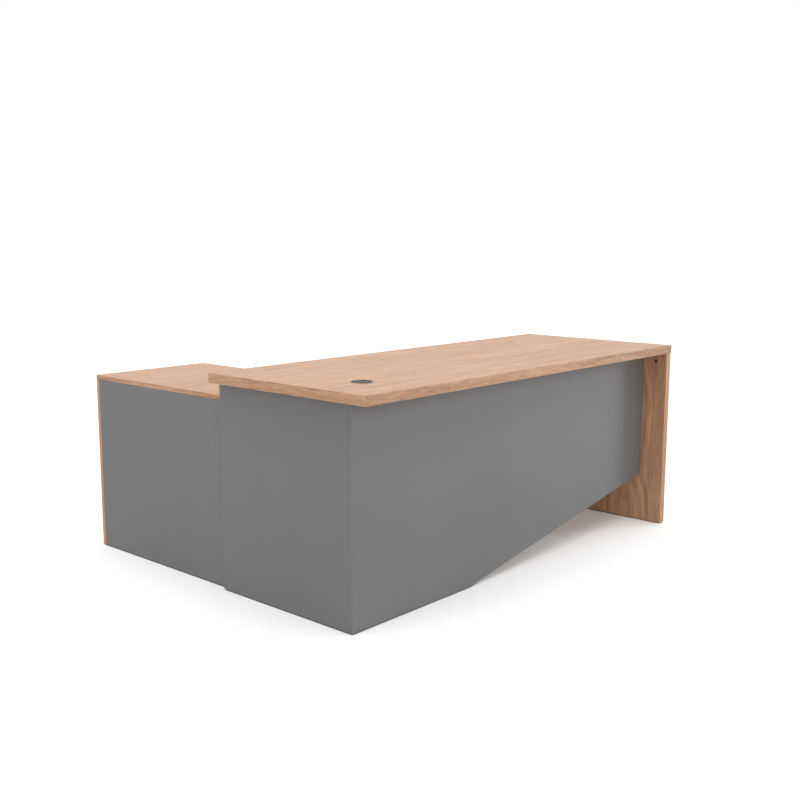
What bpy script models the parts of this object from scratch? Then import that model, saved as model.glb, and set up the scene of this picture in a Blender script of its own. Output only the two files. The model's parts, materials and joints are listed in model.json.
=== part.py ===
"""L-shaped office desk: a panelled desk with a lower storage return, as separate boards and fittings.

Metres, +Z up. The origin lies on the floor, in the middle of the desk's box. The visitor stands at -Y
and the user sits at +Y. Left and right are the visitor's: the return stands at the left, -X, and runs
back along +Y. Its drawers and its door face +X, towards the user.
"""

import math

import bmesh
import bpy
from mathutils import Vector

# Desk
DESKTOP_LENGTH = 1.800
DESKTOP_DEPTH = 0.700
DESKTOP_THICKNESS = 0.032
DESK_HEIGHT = 0.740
FRONT_OVERHANG = 0.100
LEFT_OVERHANG = 0.045
LEG_THICKNESS = 0.032
LEG_INSET = 0.005
MODESTY_FOOT_LENGTH = 0.565
MODESTY_RISE = 0.196

# Boards
BOARD = 0.016
EDGE_ROUND = 0.001
FIT = 0.0003

# Return
RETURN_REACH = 1.350
RETURN_DEPTH = 0.496
RETURN_GAP = 0.050
CUPBOARD_WIDTH = 0.351
DRAWER_BAY_WIDTH = 0.350
PLINTH_HEIGHT = 0.057
PLINTH_SETBACK = 0.050
FRONT_STANDOFF = 0.002
REVEAL = 0.003

# Glides
GLIDE_HEIGHT = 0.003
GLIDE_DIAMETER = 0.013
GLIDE_CHAMFER = 0.0006
GLIDE_INSET = 0.060

# Cam fittings
CAM_DIAMETER = 0.015
CAM_COVER = 0.0035
CAM_DROP = 0.034
CAM_EDGE_DISTANCE = 0.048
MODESTY_CAM_INSET = 0.300
BOLT_DIAMETER = 0.006
BOLT_BITE = 0.011

# Cable grommet
GROMMET_FROM_LEFT = 0.190
GROMMET_FROM_FRONT = 0.196
GROMMET_BORE = 0.060
FLANGE_DIAMETER = 0.067
FLANGE_THICKNESS = 0.0017
LINER_LENGTH = 0.025
LINER_WALL = 0.0015
LEDGE_WIDTH = 0.002
CAP_THICKNESS = 0.0025
SLOT_DEPTH = 0.012
SLOT_RADIUS = 0.013
SLOT_DIRECTION = math.radians(28.0)

# Shelves and their pins
SHELF_SIDE_GAP = 0.001
SHELF_SETBACK = 0.035
BAY_SHELF_RISE = 0.290
CUPBOARD_SHELF_RISE = 0.270
PIN_DIAMETER = 0.005
PIN_HEAD_DIAMETER = 0.007
PIN_HEAD_LENGTH = 0.008
PIN_COVER = 0.008
PIN_SETBACK = 0.050

# Drawers
DRAWER_COUNT = 3
TRAY_WALL = 0.0012
TRAY_LIFT = 0.015
TRAY_DROP = 0.045
TRAY_REAR_GAP = 0.034
RUNNER_DEPTH = 0.011
RUNNER_HEIGHT = 0.030
RUNNER_WALL = 0.0015
RUNNER_SPACE = 0.013
LIP_RAISE = 0.030
LIP_THICKNESS = 0.0015
LIP_WIDTH = 0.010

# Handles
HANDLE_SPAN = 0.128
HANDLE_REACH = 0.030
HANDLE_BEND = 0.012
HANDLE_DIAMETER = 0.010
HANDLE_BEND_STEPS = 4
DOOR_HANDLE_BELOW_LOCK = 0.120

# Door and lock
DOOR_END_GAP = 0.004
PIVOT_DIAMETER = 0.006
PIVOT_COLLAR_DIAMETER = 0.011
PIVOT_DOOR_DEPTH = 0.014
PIVOT_COVER = 0.007
LOCK_EDGE_DISTANCE = 0.030
LOCK_BELOW_TOP = 0.055
LOCK_DIAMETER = 0.016
LOCK_FLANGE_DIAMETER = 0.020
LOCK_FLANGE = 0.002
LOCK_BEHIND_DOOR = 0.008
PLUG_DIAMETER = 0.0108
PLUG_TAIL_DIAMETER = 0.006
LOCK_CAM_THICKNESS = 0.002
LOCK_CAM_WIDTH = 0.012
LOCK_CAM_BITE = 0.005
SLOT_CLEARANCE = 0.0015

# Facets of round pieces
SMALL_STEPS = 12
FITTING_STEPS = 20
GROMMET_STEPS = 32
CUTTER_OVERRUN = 0.003

# Planes of the desk
LEFT_EDGE = -DESKTOP_LENGTH / 2
RIGHT_EDGE = DESKTOP_LENGTH / 2
FRONT_EDGE = -(FRONT_OVERHANG + RETURN_REACH) / 2
REAR_EDGE = FRONT_EDGE + DESKTOP_DEPTH
UNDERSIDE = DESK_HEIGHT - DESKTOP_THICKNESS
LEFT_FACE = LEFT_EDGE + LEFT_OVERHANG
LEG_INNER = RIGHT_EDGE - LEG_INSET - LEG_THICKNESS
MODESTY_FRONT = FRONT_EDGE + FRONT_OVERHANG
MODESTY_BACK = MODESTY_FRONT + BOARD

# Planes of the return
RETURN_BACK = LEFT_FACE + BOARD + FIT
RETURN_FRONT = RETURN_BACK + RETURN_DEPTH
RETURN_NEAR = MODESTY_BACK + FIT
RETURN_END = MODESTY_FRONT + RETURN_REACH
RETURN_TOP = UNDERSIDE - RETURN_GAP
CARCASS_TOP = RETURN_TOP - BOARD
CARCASS_BACK = RETURN_BACK + BOARD
CARCASS_FLOOR = GLIDE_HEIGHT + PLINTH_HEIGHT + BOARD
FRONTS_BACK = RETURN_FRONT - BOARD
CARCASS_FRONT = FRONTS_BACK - FRONT_STANDOFF
BAY_NEAR = RETURN_NEAR + BOARD
CUPBOARD_FAR = RETURN_END - BOARD
CUPBOARD_NEAR = CUPBOARD_FAR - CUPBOARD_WIDTH
DRAWERS_FAR = CUPBOARD_NEAR - BOARD
DRAWERS_NEAR = DRAWERS_FAR - DRAWER_BAY_WIDTH
BAY_FAR = DRAWERS_NEAR - BOARD
FRONTS_BOTTOM = CARCASS_FLOOR + REVEAL
FRONTS_TOP = CARCASS_TOP - REVEAL
FRONTS_JOINT = (DRAWERS_FAR + CUPBOARD_NEAR) / 2
CAM_HEIGHT = UNDERSIDE - CAM_DROP
CAM_DEPTH = BOARD - CAM_COVER

X_AXIS = Vector((1, 0, 0))
Y_AXIS = Vector((0, 1, 0))
Z_AXIS = Vector((0, 0, 1))


def clear_scene():
    """Remove whatever the scene holds, so that only the desk is left."""
    for item in list(bpy.data.objects):
        bpy.data.objects.remove(item, do_unlink=True)


def new_collection(name):
    """Make a collection in the scene."""
    made = bpy.data.collections.new(name)
    bpy.context.scene.collection.children.link(made)
    return made


def finish(name, colour, roughness, metallic=0.0):
    """Make a plain material from a linear colour."""
    material = bpy.data.materials.new(name)
    material.use_nodes = True
    shader = material.node_tree.nodes["Principled BSDF"]
    shader.inputs["Base Color"].default_value = (*colour, 1.0)
    shader.inputs["Roughness"].default_value = roughness
    shader.inputs["Metallic"].default_value = metallic
    material.diffuse_color = (*colour, 1.0)
    return material


clear_scene()
PARTS = new_collection("office_desk")
CUTTERS = new_collection("office_desk_cutters")

OAK = finish("oak_laminate", (0.63, 0.41, 0.27), 0.45)
GREY = finish("grey_laminate", (0.195, 0.195, 0.2), 0.5)
GRAPHITE = finish("graphite_plastic", (0.09, 0.085, 0.08), 0.5)
BLACK = finish("black_plastic", (0.02, 0.02, 0.02), 0.6)
ZINC = finish("zinc_plated_steel", (0.55, 0.55, 0.54), 0.35, 1.0)
TRAY_PAINT = finish("tray_paint", (0.5, 0.5, 0.5), 0.4)
SATIN_STEEL = finish("satin_steel", (0.6, 0.59, 0.57), 0.3, 1.0)


def put(item, place, parent):
    """Put an object at a place in the world, under axes that aren't turned."""
    item.parent = parent
    item.location = Vector(place)
    while parent:
        item.location -= parent.location
        parent = parent.parent
    PARTS.objects.link(item)
    return item


def add_part(name, data, material, place, parent=None):
    """Add a named part at a place in the world."""
    data.materials.append(material)
    return put(bpy.data.objects.new(name, data), place, parent)


def add_cutter(name, mesh, place):
    """Add a shape that only cuts other parts or is joined to them."""
    made = bpy.data.objects.new(name, mesh)
    made.location = place
    made.hide_render = True
    made.display_type = "WIRE"
    CUTTERS.objects.link(made)
    return made


def add_axis(name, place, parent=None):
    """Add the empty that carries a moving body, on its joint's axis."""
    return put(bpy.data.objects.new(name, None), place, parent)


def aim(item, axis):
    """Turn an object so that its own Z runs along an axis."""
    item.rotation_euler = Z_AXIS.rotation_difference(Vector(axis)).to_euler()


def block_mesh(name, size):
    """Make a box about its middle."""
    shape = bmesh.new()
    bmesh.ops.create_cube(shape, size=1.0)
    bmesh.ops.scale(shape, vec=size, verts=shape.verts)
    mesh = bpy.data.meshes.new(name)
    shape.to_mesh(mesh)
    shape.free()
    return mesh


def cylinder_mesh(name, radius, length, steps):
    """Make a cylinder about its middle, along Z."""
    shape = bmesh.new()
    bmesh.ops.create_cone(
        shape, cap_ends=True, segments=steps, radius1=radius, radius2=radius, depth=length
    )
    mesh = bpy.data.meshes.new(name)
    shape.to_mesh(mesh)
    shape.free()
    return mesh


def round_edges(item):
    """Break the edges of a board."""
    bevel = item.modifiers.new("edges", "BEVEL")
    bevel.width = EDGE_ROUND
    bevel.segments = 1
    bevel.limit_method = "ANGLE"


def board(name, low, high, material, parent=None):
    """Make a board between two corners, with broken edges."""
    low = Vector(low)
    high = Vector(high)
    made = add_part(name, block_mesh(name, high - low), material, (low + high) / 2, parent)
    round_edges(made)
    return made


def cut(item, cutter):
    """Cut one shape out of a part."""
    change = item.modifiers.new(cutter.name, "BOOLEAN")
    change.operation = "DIFFERENCE"
    change.object = cutter


def drill(item, mouth, inwards, radius, depth, steps=FITTING_STEPS):
    """Bore a round hole from its mouth, which lies on the part's face."""
    inwards = Vector(inwards)
    mesh = cylinder_mesh("bore", radius, depth + CUTTER_OVERRUN, steps)
    cutter = add_cutter(item.name + ".bore", mesh, Vector(mouth) + inwards * (depth - CUTTER_OVERRUN) / 2)
    aim(cutter, inwards)
    cut(item, cutter)


def turned(name, profile, place, axis, material, steps, parent=None, ring=False):
    """Turn a profile of (radius, height) points, which runs down its outer side."""
    shape = bmesh.new()
    points = [shape.verts.new((radius, 0.0, height)) for radius, height in profile]
    for first, second in zip(points, points[1:]):
        shape.edges.new((first, second))
    if ring:
        shape.edges.new((points[-1], points[0]))
    mesh = bpy.data.meshes.new(name)
    shape.to_mesh(mesh)
    shape.free()
    made = add_part(name, mesh, material, place, parent)
    aim(made, axis)
    screw = made.modifiers.new("turn", "SCREW")
    screw.steps = steps
    screw.render_steps = steps
    screw.use_merge_vertices = True
    screw.merge_threshold = 0.00001
    screw.use_smooth_shade = True
    return made


def make_desktop():
    """The 32 mm top with its grommet hole."""
    low = (LEFT_EDGE, FRONT_EDGE, UNDERSIDE)
    high = (RIGHT_EDGE, REAR_EDGE, DESK_HEIGHT)
    desktop = board("desktop", low, high, OAK)
    depth = DESKTOP_THICKNESS + CUTTER_OVERRUN
    drill(desktop, grommet_place(), -Z_AXIS, GROMMET_BORE / 2, depth, GROMMET_STEPS)
    return desktop


def grommet_place():
    """The middle of the grommet, on the desktop's upper face."""
    return Vector((LEFT_EDGE + GROMMET_FROM_LEFT, FRONT_EDGE + GROMMET_FROM_FRONT, DESK_HEIGHT))


def make_modesty_panel():
    """The visitor's side panel, with its lower edge cut off along a slant."""
    low = Vector((LEFT_FACE, MODESTY_FRONT, GLIDE_HEIGHT))
    high = Vector((LEG_INNER - FIT, MODESTY_BACK, UNDERSIDE - FIT))
    middle = (low + high) / 2
    kink = Vector((low.x + MODESTY_FOOT_LENGTH, middle.y, low.z))
    corner = Vector((high.x, middle.y, low.z + MODESTY_RISE))
    slant = corner - kink
    mesh = block_mesh("modesty_panel", high - low)
    shape = bmesh.new()
    shape.from_mesh(mesh)
    cut_off = bmesh.ops.bisect_plane(
        shape,
        geom=shape.verts[:] + shape.edges[:] + shape.faces[:],
        plane_co=kink - middle,
        plane_no=(slant.z, 0.0, -slant.x),
        clear_outer=True,
    )
    open_edges = [part for part in cut_off["geom_cut"] if isinstance(part, bmesh.types.BMEdge)]
    bmesh.ops.contextual_create(shape, geom=open_edges)
    bmesh.ops.recalc_face_normals(shape, faces=shape.faces)
    shape.to_mesh(mesh)
    shape.free()
    panel = add_part("modesty_panel", mesh, GREY, middle)
    round_edges(panel)
    return panel


def make_desk_panels():
    """The left side panel and the right leg panel; the leg is the one handed back."""
    low = (LEFT_FACE, MODESTY_BACK + FIT, GLIDE_HEIGHT)
    high = (LEFT_FACE + BOARD, REAR_EDGE, UNDERSIDE - FIT)
    board("left_side_panel", low, high, GREY)
    low = (LEG_INNER, FRONT_EDGE, GLIDE_HEIGHT)
    high = (LEG_INNER + LEG_THICKNESS, REAR_EDGE, UNDERSIDE - FIT)
    return board("right_leg_panel", low, high, OAK)


def make_cam(name, panel, desktop, place, facing):
    """A cam in a panel's face and the bolt that it pulls down out of the desktop."""
    place = Vector(place)
    facing = Vector(facing)
    radius = CAM_DIAMETER / 2
    bore = radius + FIT
    drill(panel, place, -facing, bore, CAM_DEPTH + FIT)
    profile = ((0.0, 0.0), (radius, 0.0), (radius, -CAM_DEPTH), (0.0, -CAM_DEPTH))
    turned(name + "_cam", profile, place, facing, GRAPHITE, FITTING_STEPS)
    axis = place - facing * (BOARD / 2)
    top = Vector((axis.x, axis.y, UNDERSIDE))
    drill(panel, top - Z_AXIS * FIT, -Z_AXIS, BOLT_DIAMETER / 2 + FIT, CAM_DROP - FIT, SMALL_STEPS)
    drill(desktop, top, Z_AXIS, BOLT_DIAMETER / 2 + FIT, BOLT_BITE + FIT, SMALL_STEPS)
    bolt = BOLT_DIAMETER / 2
    lowest = bore - CAM_DROP
    profile = ((0.0, BOLT_BITE), (bolt, BOLT_BITE), (bolt, lowest), (0.0, lowest))
    turned(name + "_bolt", profile, top, Z_AXIS, ZINC, SMALL_STEPS)


def make_cams(desktop, modesty, leg):
    """Two cam fittings on the leg and two on the modesty panel."""
    front = FRONT_EDGE + CAM_EDGE_DISTANCE
    rear = REAR_EDGE - CAM_EDGE_DISTANCE
    make_cam("leg_front", leg, desktop, (LEG_INNER, front, CAM_HEIGHT), -X_AXIS)
    make_cam("leg_rear", leg, desktop, (LEG_INNER, rear, CAM_HEIGHT), -X_AXIS)
    left = LEFT_FACE + MODESTY_CAM_INSET
    right = LEG_INNER - MODESTY_CAM_INSET
    make_cam("modesty_left", modesty, desktop, (left, MODESTY_BACK, CAM_HEIGHT), Y_AXIS)
    make_cam("modesty_right", modesty, desktop, (right, MODESTY_BACK, CAM_HEIGHT), Y_AXIS)


def make_glides():
    """Six low glides under the side panel, the leg panel and the return's end panel."""
    leg_middle = LEG_INNER + LEG_THICKNESS / 2
    side_middle = LEFT_FACE + BOARD / 2
    end_middle = RETURN_END - BOARD / 2
    places = (
        (leg_middle, FRONT_EDGE + GLIDE_INSET),
        (leg_middle, REAR_EDGE - GLIDE_INSET),
        (side_middle, MODESTY_BACK + GLIDE_INSET),
        (side_middle, REAR_EDGE - GLIDE_INSET),
        (RETURN_BACK + GLIDE_INSET, end_middle),
        (RETURN_FRONT - GLIDE_INSET, end_middle),
    )
    radius = GLIDE_DIAMETER / 2
    top = GLIDE_HEIGHT - FIT
    profile = (
        (0.0, top),
        (radius, top),
        (radius, GLIDE_CHAMFER),
        (radius - GLIDE_CHAMFER, 0.0),
        (0.0, 0.0),
    )
    for number, (x, y) in enumerate(places, 1):
        turned(f"glide_{number}", profile, (x, y, 0.0), Z_AXIS, BLACK, SMALL_STEPS)


def make_grommet():
    """The grommet's liner, whose flange lies on the desktop, and the cap with its cable slot."""
    flange = FLANGE_DIAMETER / 2
    tube = GROMMET_BORE / 2 - FIT
    seat = tube - LINER_WALL
    mouth = seat - LEDGE_WIDTH
    top = FIT + FLANGE_THICKNESS
    ledge = top - CAP_THICKNESS - FIT
    profile = (
        (flange, top),
        (flange, FIT),
        (tube, FIT),
        (tube, -LINER_LENGTH),
        (mouth, -LINER_LENGTH),
        (mouth, ledge),
        (seat, ledge),
        (seat, top),
    )
    place = grommet_place()
    turned("grommet_liner", profile, place, Z_AXIS, GRAPHITE, GROMMET_STEPS, ring=True)
    radius = seat - FIT
    profile = ((0.0, top), (radius, top), (radius, top - CAP_THICKNESS), (0.0, top - CAP_THICKNESS))
    cap = turned("grommet_cap", profile, place, Z_AXIS, GRAPHITE, GROMMET_STEPS)
    towards = Vector((math.cos(SLOT_DIRECTION), math.sin(SLOT_DIRECTION), 0.0))
    mesh = cylinder_mesh("slot", SLOT_RADIUS, CAP_THICKNESS + 2 * CUTTER_OVERRUN, FITTING_STEPS)
    middle = place + towards * (radius - SLOT_DEPTH + SLOT_RADIUS) + Z_AXIS * (top - CAP_THICKNESS / 2)
    cut(cap, add_cutter("grommet_cap.slot", mesh, middle))


def make_return_carcass():
    """The return's fixed boards, by name."""
    inside = CARCASS_BACK + FIT
    foot = GLIDE_HEIGHT
    under_top = CARCASS_TOP - FIT
    near = BAY_NEAR + FIT
    far = CUPBOARD_FAR - FIT
    on_floor = CARCASS_FLOOR + FIT
    floor_bottom = CARCASS_FLOOR - BOARD
    plinth_face = RETURN_FRONT - PLINTH_SETBACK
    front = CARCASS_FRONT
    boards = (
        ("return_top", (RETURN_BACK, RETURN_NEAR, CARCASS_TOP), (RETURN_FRONT, RETURN_END, RETURN_TOP), OAK),
        ("return_end_panel", (RETURN_BACK, CUPBOARD_FAR, foot), (RETURN_FRONT, RETURN_END, under_top), OAK),
        ("return_back_panel", (RETURN_BACK, RETURN_NEAR, foot), (CARCASS_BACK, far, under_top), GREY),
        ("return_inner_panel", (inside, RETURN_NEAR, foot), (RETURN_FRONT, BAY_NEAR, under_top), GREY),
        ("return_floor", (inside, near, floor_bottom), (RETURN_FRONT, far, CARCASS_FLOOR), GREY),
        ("return_plinth", (plinth_face - BOARD, near, foot), (plinth_face, far, floor_bottom - FIT), GREY),
        ("bay_partition", (inside, BAY_FAR, on_floor), (front, DRAWERS_NEAR, under_top), GREY),
        ("cupboard_partition", (inside, DRAWERS_FAR, on_floor), (front, CUPBOARD_NEAR, under_top), GREY),
    )
    return {name: board(name, low, high, material) for name, low, high, material in boards}


def make_shelf(name, near_panel, far_panel, near, far, rise, first_pin):
    """An adjustable shelf between two panels, on four pins."""
    back = CARCASS_BACK + SHELF_SIDE_GAP
    front = CARCASS_FRONT - SHELF_SETBACK
    bottom = CARCASS_FLOOR + rise
    low = (back, near + SHELF_SIDE_GAP, bottom)
    high = (front, far - SHELF_SIDE_GAP, bottom + BOARD)
    board(name, low, high, GREY)
    spigot = PIN_DIAMETER / 2
    head = PIN_HEAD_DIAMETER / 2
    depth = BOARD - PIN_COVER
    height = bottom - FIT - head
    profile = (
        (0.0, PIN_HEAD_LENGTH),
        (head, PIN_HEAD_LENGTH),
        (head, FIT),
        (spigot, FIT),
        (spigot, -depth),
        (0.0, -depth),
    )
    number = first_pin
    for panel, face, inwards in ((near_panel, near, Y_AXIS), (far_panel, far, -Y_AXIS)):
        for x in (back + PIN_SETBACK, front - PIN_SETBACK):
            place = Vector((x, face, height))
            drill(panel, place, -inwards, spigot + FIT, depth + FIT, SMALL_STEPS)
            turned(f"shelf_pin_{number}", profile, place, inwards, ZINC, SMALL_STEPS)
            number += 1


def make_runner(name, face, towards, bottom):
    """A channel on a partition's face, open towards the drawer."""
    outline = (
        (0.0, 0.0),
        (RUNNER_DEPTH, 0.0),
        (RUNNER_DEPTH, RUNNER_WALL),
        (RUNNER_WALL, RUNNER_WALL),
        (RUNNER_WALL, RUNNER_HEIGHT - RUNNER_WALL),
        (RUNNER_DEPTH, RUNNER_HEIGHT - RUNNER_WALL),
        (RUNNER_DEPTH, RUNNER_HEIGHT),
        (0.0, RUNNER_HEIGHT),
    )
    curve = bpy.data.curves.new(name, "CURVE")
    curve.dimensions = "2D"
    curve.fill_mode = "BOTH"
    spline = curve.splines.new("POLY")
    spline.points.add(len(outline) - 1)
    for point, (across, up) in zip(spline.points, outline):
        point.co = (across * towards, up, 0.0, 1.0)
    spline.use_cyclic_u = True
    length = tray_length()
    curve.extrude = length / 2
    place = (CARCASS_FRONT - length / 2, face + towards * FIT, bottom)
    made = add_part(name, curve, ZINC, place)
    made.rotation_euler = (math.pi / 2, 0.0, math.pi / 2)


def tray_length():
    """How far a tray reaches back from its front."""
    return FRONTS_BACK - FIT - CARCASS_BACK - TRAY_REAR_GAP


def drawer_front_height():
    """The height of one drawer front in the stack."""
    return (FRONTS_TOP - FRONTS_BOTTOM - (DRAWER_COUNT - 1) * REVEAL) / DRAWER_COUNT


def make_tray(name, bottom, parent):
    """An open steel tray with a lip along each side, which rides in the runners."""
    width = DRAWER_BAY_WIDTH - 2 * RUNNER_SPACE
    height = drawer_front_height() - TRAY_LIFT - TRAY_DROP
    length = tray_length()
    mesh = block_mesh(name, (length, width, height))
    shape = bmesh.new()
    shape.from_mesh(mesh)
    lid = [face for face in shape.faces if face.normal.z > 0.5]
    bmesh.ops.delete(shape, geom=lid, context="FACES_ONLY")
    shape.to_mesh(mesh)
    shape.free()
    middle = (DRAWERS_NEAR + DRAWERS_FAR) / 2
    place = Vector((FRONTS_BACK - FIT - length / 2, middle, bottom + height / 2))
    tray = add_part(name, mesh, TRAY_PAINT, place, parent)
    walls = tray.modifiers.new("walls", "SOLIDIFY")
    walls.thickness = TRAY_WALL
    walls.offset = -1.0
    walls.use_even_offset = True
    for side in (-1, 1):
        lip_width = LIP_WIDTH + TRAY_WALL / 2
        lip_middle = side * (width / 2 - TRAY_WALL / 2 + lip_width / 2)
        lip = block_mesh("lip", (length, lip_width, LIP_THICKNESS))
        lip_place = place + Vector((0.0, lip_middle, LIP_RAISE + LIP_THICKNESS / 2 - height / 2))
        join = tray.modifiers.new("lip", "BOOLEAN")
        join.operation = "UNION"
        join.object = add_cutter(name + ".lip", lip, lip_place)


def make_handle(name, place, upright, parent):
    """A bow handle of round bar that stands on a front."""
    radius = HANDLE_DIAMETER / 2
    half = HANDLE_SPAN / 2
    straight = HANDLE_REACH - radius - HANDLE_BEND
    points = [(FIT, -half)]
    for step in range(HANDLE_BEND_STEPS + 1):
        turn = math.pi / 2 * step / HANDLE_BEND_STEPS
        out = straight + HANDLE_BEND * math.sin(turn)
        along = -half + HANDLE_BEND * (1.0 - math.cos(turn))
        points.append((out, along))
    points += [(out, -along) for out, along in reversed(points)]
    curve = bpy.data.curves.new(name, "CURVE")
    curve.dimensions = "3D"
    curve.bevel_depth = radius
    curve.bevel_resolution = 2
    curve.use_fill_caps = True
    spline = curve.splines.new("POLY")
    spline.points.add(len(points) - 1)
    for point, (out, along) in zip(spline.points, points):
        point.co = (out, 0.0, along, 1.0) if upright else (out, along, 0.0, 1.0)
    add_part(name, curve, SATIN_STEEL, place, parent)


def make_drawers():
    """The stack of drawers, lowest first, each on its two runners."""
    near = BAY_FAR
    far = FRONTS_JOINT - REVEAL / 2
    height = drawer_front_height()
    for number in range(1, DRAWER_COUNT + 1):
        bottom = FRONTS_BOTTOM + (number - 1) * (height + REVEAL)
        middle = Vector((RETURN_FRONT, (near + far) / 2, bottom + height / 2))
        slide = add_axis(f"drawer_{number}_slide", middle)
        low = (FRONTS_BACK, near, bottom)
        board(f"drawer_front_{number}", low, (RETURN_FRONT, far, bottom + height), GREY, slide)
        make_handle(f"drawer_handle_{number}", middle, False, slide)
        tray_bottom = bottom + TRAY_LIFT
        make_tray(f"drawer_tray_{number}", tray_bottom, slide)
        runner_bottom = tray_bottom + LIP_RAISE - FIT - RUNNER_WALL
        make_runner(f"runner_near_{number}", DRAWERS_NEAR, 1, runner_bottom)
        make_runner(f"runner_far_{number}", DRAWERS_FAR, -1, runner_bottom)


def make_door(carcass):
    """The cupboard's door on its two pivots, with its handle and its lock."""
    free_edge = FRONTS_JOINT + REVEAL / 2
    hinge_edge = CUPBOARD_FAR - DOOR_END_GAP
    axis = Vector((FRONTS_BACK + BOARD / 2, hinge_edge - BOARD / 2, FRONTS_BOTTOM))
    pivot = add_axis("door_hinge", axis)
    low = (FRONTS_BACK, free_edge, FRONTS_BOTTOM)
    door = board("cupboard_door", low, (RETURN_FRONT, hinge_edge, FRONTS_TOP), GREY, pivot)
    spigot = PIVOT_DIAMETER / 2
    collar = PIVOT_COLLAR_DIAMETER / 2
    depth = BOARD - PIVOT_COVER
    profile = (
        (0.0, REVEAL + depth),
        (spigot, REVEAL + depth),
        (spigot, REVEAL - FIT),
        (collar, REVEAL - FIT),
        (collar, FIT),
        (spigot, FIT),
        (spigot, -PIVOT_DOOR_DEPTH),
        (0.0, -PIVOT_DOOR_DEPTH),
    )
    ends = (
        ("door_pivot_top", FRONTS_TOP, Z_AXIS, carcass["return_top"]),
        ("door_pivot_bottom", FRONTS_BOTTOM, -Z_AXIS, carcass["return_floor"]),
    )
    for name, height, outwards, held_in in ends:
        place = Vector((axis.x, axis.y, height))
        drill(door, place, -outwards, spigot + FIT, PIVOT_DOOR_DEPTH + FIT)
        drill(held_in, place + outwards * REVEAL, outwards, spigot + FIT, depth + FIT)
        turned(name, profile, place, outwards, ZINC, FITTING_STEPS, pivot)
    lock_height = FRONTS_TOP - LOCK_BELOW_TOP
    beside_edge = free_edge + LOCK_EDGE_DISTANCE
    handle_place = (RETURN_FRONT, beside_edge, lock_height - DOOR_HANDLE_BELOW_LOCK)
    make_handle("door_handle", handle_place, True, pivot)
    make_lock(door, pivot, carcass["cupboard_partition"], Vector((RETURN_FRONT, beside_edge, lock_height)))


def make_lock(door, pivot, partition, place):
    """The door's lock: its cam stands upright when open, and turns into a slot in the partition."""
    radius = LOCK_DIAMETER / 2
    flange = LOCK_FLANGE_DIAMETER / 2
    bore = PLUG_DIAMETER / 2 + FIT
    top = FIT + LOCK_FLANGE
    rear = -(BOARD + LOCK_BEHIND_DOOR)
    drill(door, place, -X_AXIS, radius + FIT, BOARD + CUTTER_OVERRUN)
    profile = ((flange, top), (flange, FIT), (radius, FIT), (radius, rear), (bore, rear), (bore, top))
    turned("lock_barrel", profile, place, X_AXIS, SATIN_STEEL, FITTING_STEPS, pivot, ring=True)
    turn = add_axis("lock_axis", place, pivot)
    plug = PLUG_DIAMETER / 2
    tail = PLUG_TAIL_DIAMETER / 2
    cam_front = rear - FIT
    cam_rear = cam_front - LOCK_CAM_THICKNESS
    profile = ((0.0, top), (plug, top), (plug, rear), (tail, rear), (tail, cam_rear), (0.0, cam_rear))
    turned("lock_plug", profile, place, X_AXIS, SATIN_STEEL, FITTING_STEPS, turn)
    to_partition = place.y - CUPBOARD_NEAR
    reach = to_partition + LOCK_CAM_BITE
    half = LOCK_CAM_WIDTH / 2
    cam_x = place.x + (cam_front + cam_rear) / 2
    cam_mesh = block_mesh("lock_cam", (LOCK_CAM_THICKNESS, LOCK_CAM_WIDTH, reach + half))
    cam = add_part("lock_cam", cam_mesh, ZINC, (cam_x, place.y, place.z + (reach - half) / 2), turn)
    hole = place + X_AXIS * cam_front
    drill(cam, hole, -X_AXIS, tail + FIT, LOCK_CAM_THICKNESS + CUTTER_OVERRUN)
    make_lock_slot(partition, Vector((cam_x, CUPBOARD_NEAR, place.z)), to_partition, reach, half)


def make_lock_slot(partition, mouth, to_partition, reach, half):
    """The slot that the lock's cam swings into from above, over the arc of its corner."""
    corner = math.hypot(reach, half)
    entry = math.sqrt(corner**2 - to_partition**2)
    depth = corner - to_partition + SLOT_CLEARANCE
    below = half + SLOT_CLEARANCE
    above = entry + SLOT_CLEARANCE
    size = (LOCK_CAM_THICKNESS + 2 * SLOT_CLEARANCE, depth + CUTTER_OVERRUN, above + below)
    middle = mouth + Vector((0.0, (CUTTER_OVERRUN - depth) / 2, (above - below) / 2))
    cut(partition, add_cutter("cupboard_partition.slot", block_mesh("slot", size), middle))


def main():
    """Build the desk, then the return and what it holds."""
    desktop = make_desktop()
    modesty = make_modesty_panel()
    leg = make_desk_panels()
    make_cams(desktop, modesty, leg)
    make_glides()
    make_grommet()
    carcass = make_return_carcass()
    inner_panel = carcass["return_inner_panel"]
    bay_partition = carcass["bay_partition"]
    make_shelf("bay_shelf", inner_panel, bay_partition, BAY_NEAR, BAY_FAR, BAY_SHELF_RISE, 1)
    partition = carcass["cupboard_partition"]
    end_panel = carcass["return_end_panel"]
    make_shelf("cupboard_shelf", partition, end_panel, CUPBOARD_NEAR, CUPBOARD_FAR, CUPBOARD_SHELF_RISE, 5)
    make_drawers()
    make_door(carcass)


main()
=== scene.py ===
"""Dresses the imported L-shaped office desk with banded boards, fittings, finishes and a stage."""

import json
import math

import bmesh
import bpy
from bpy.props import FloatProperty, FloatVectorProperty, IntProperty, PointerProperty
from mathutils import Matrix, Vector


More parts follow.
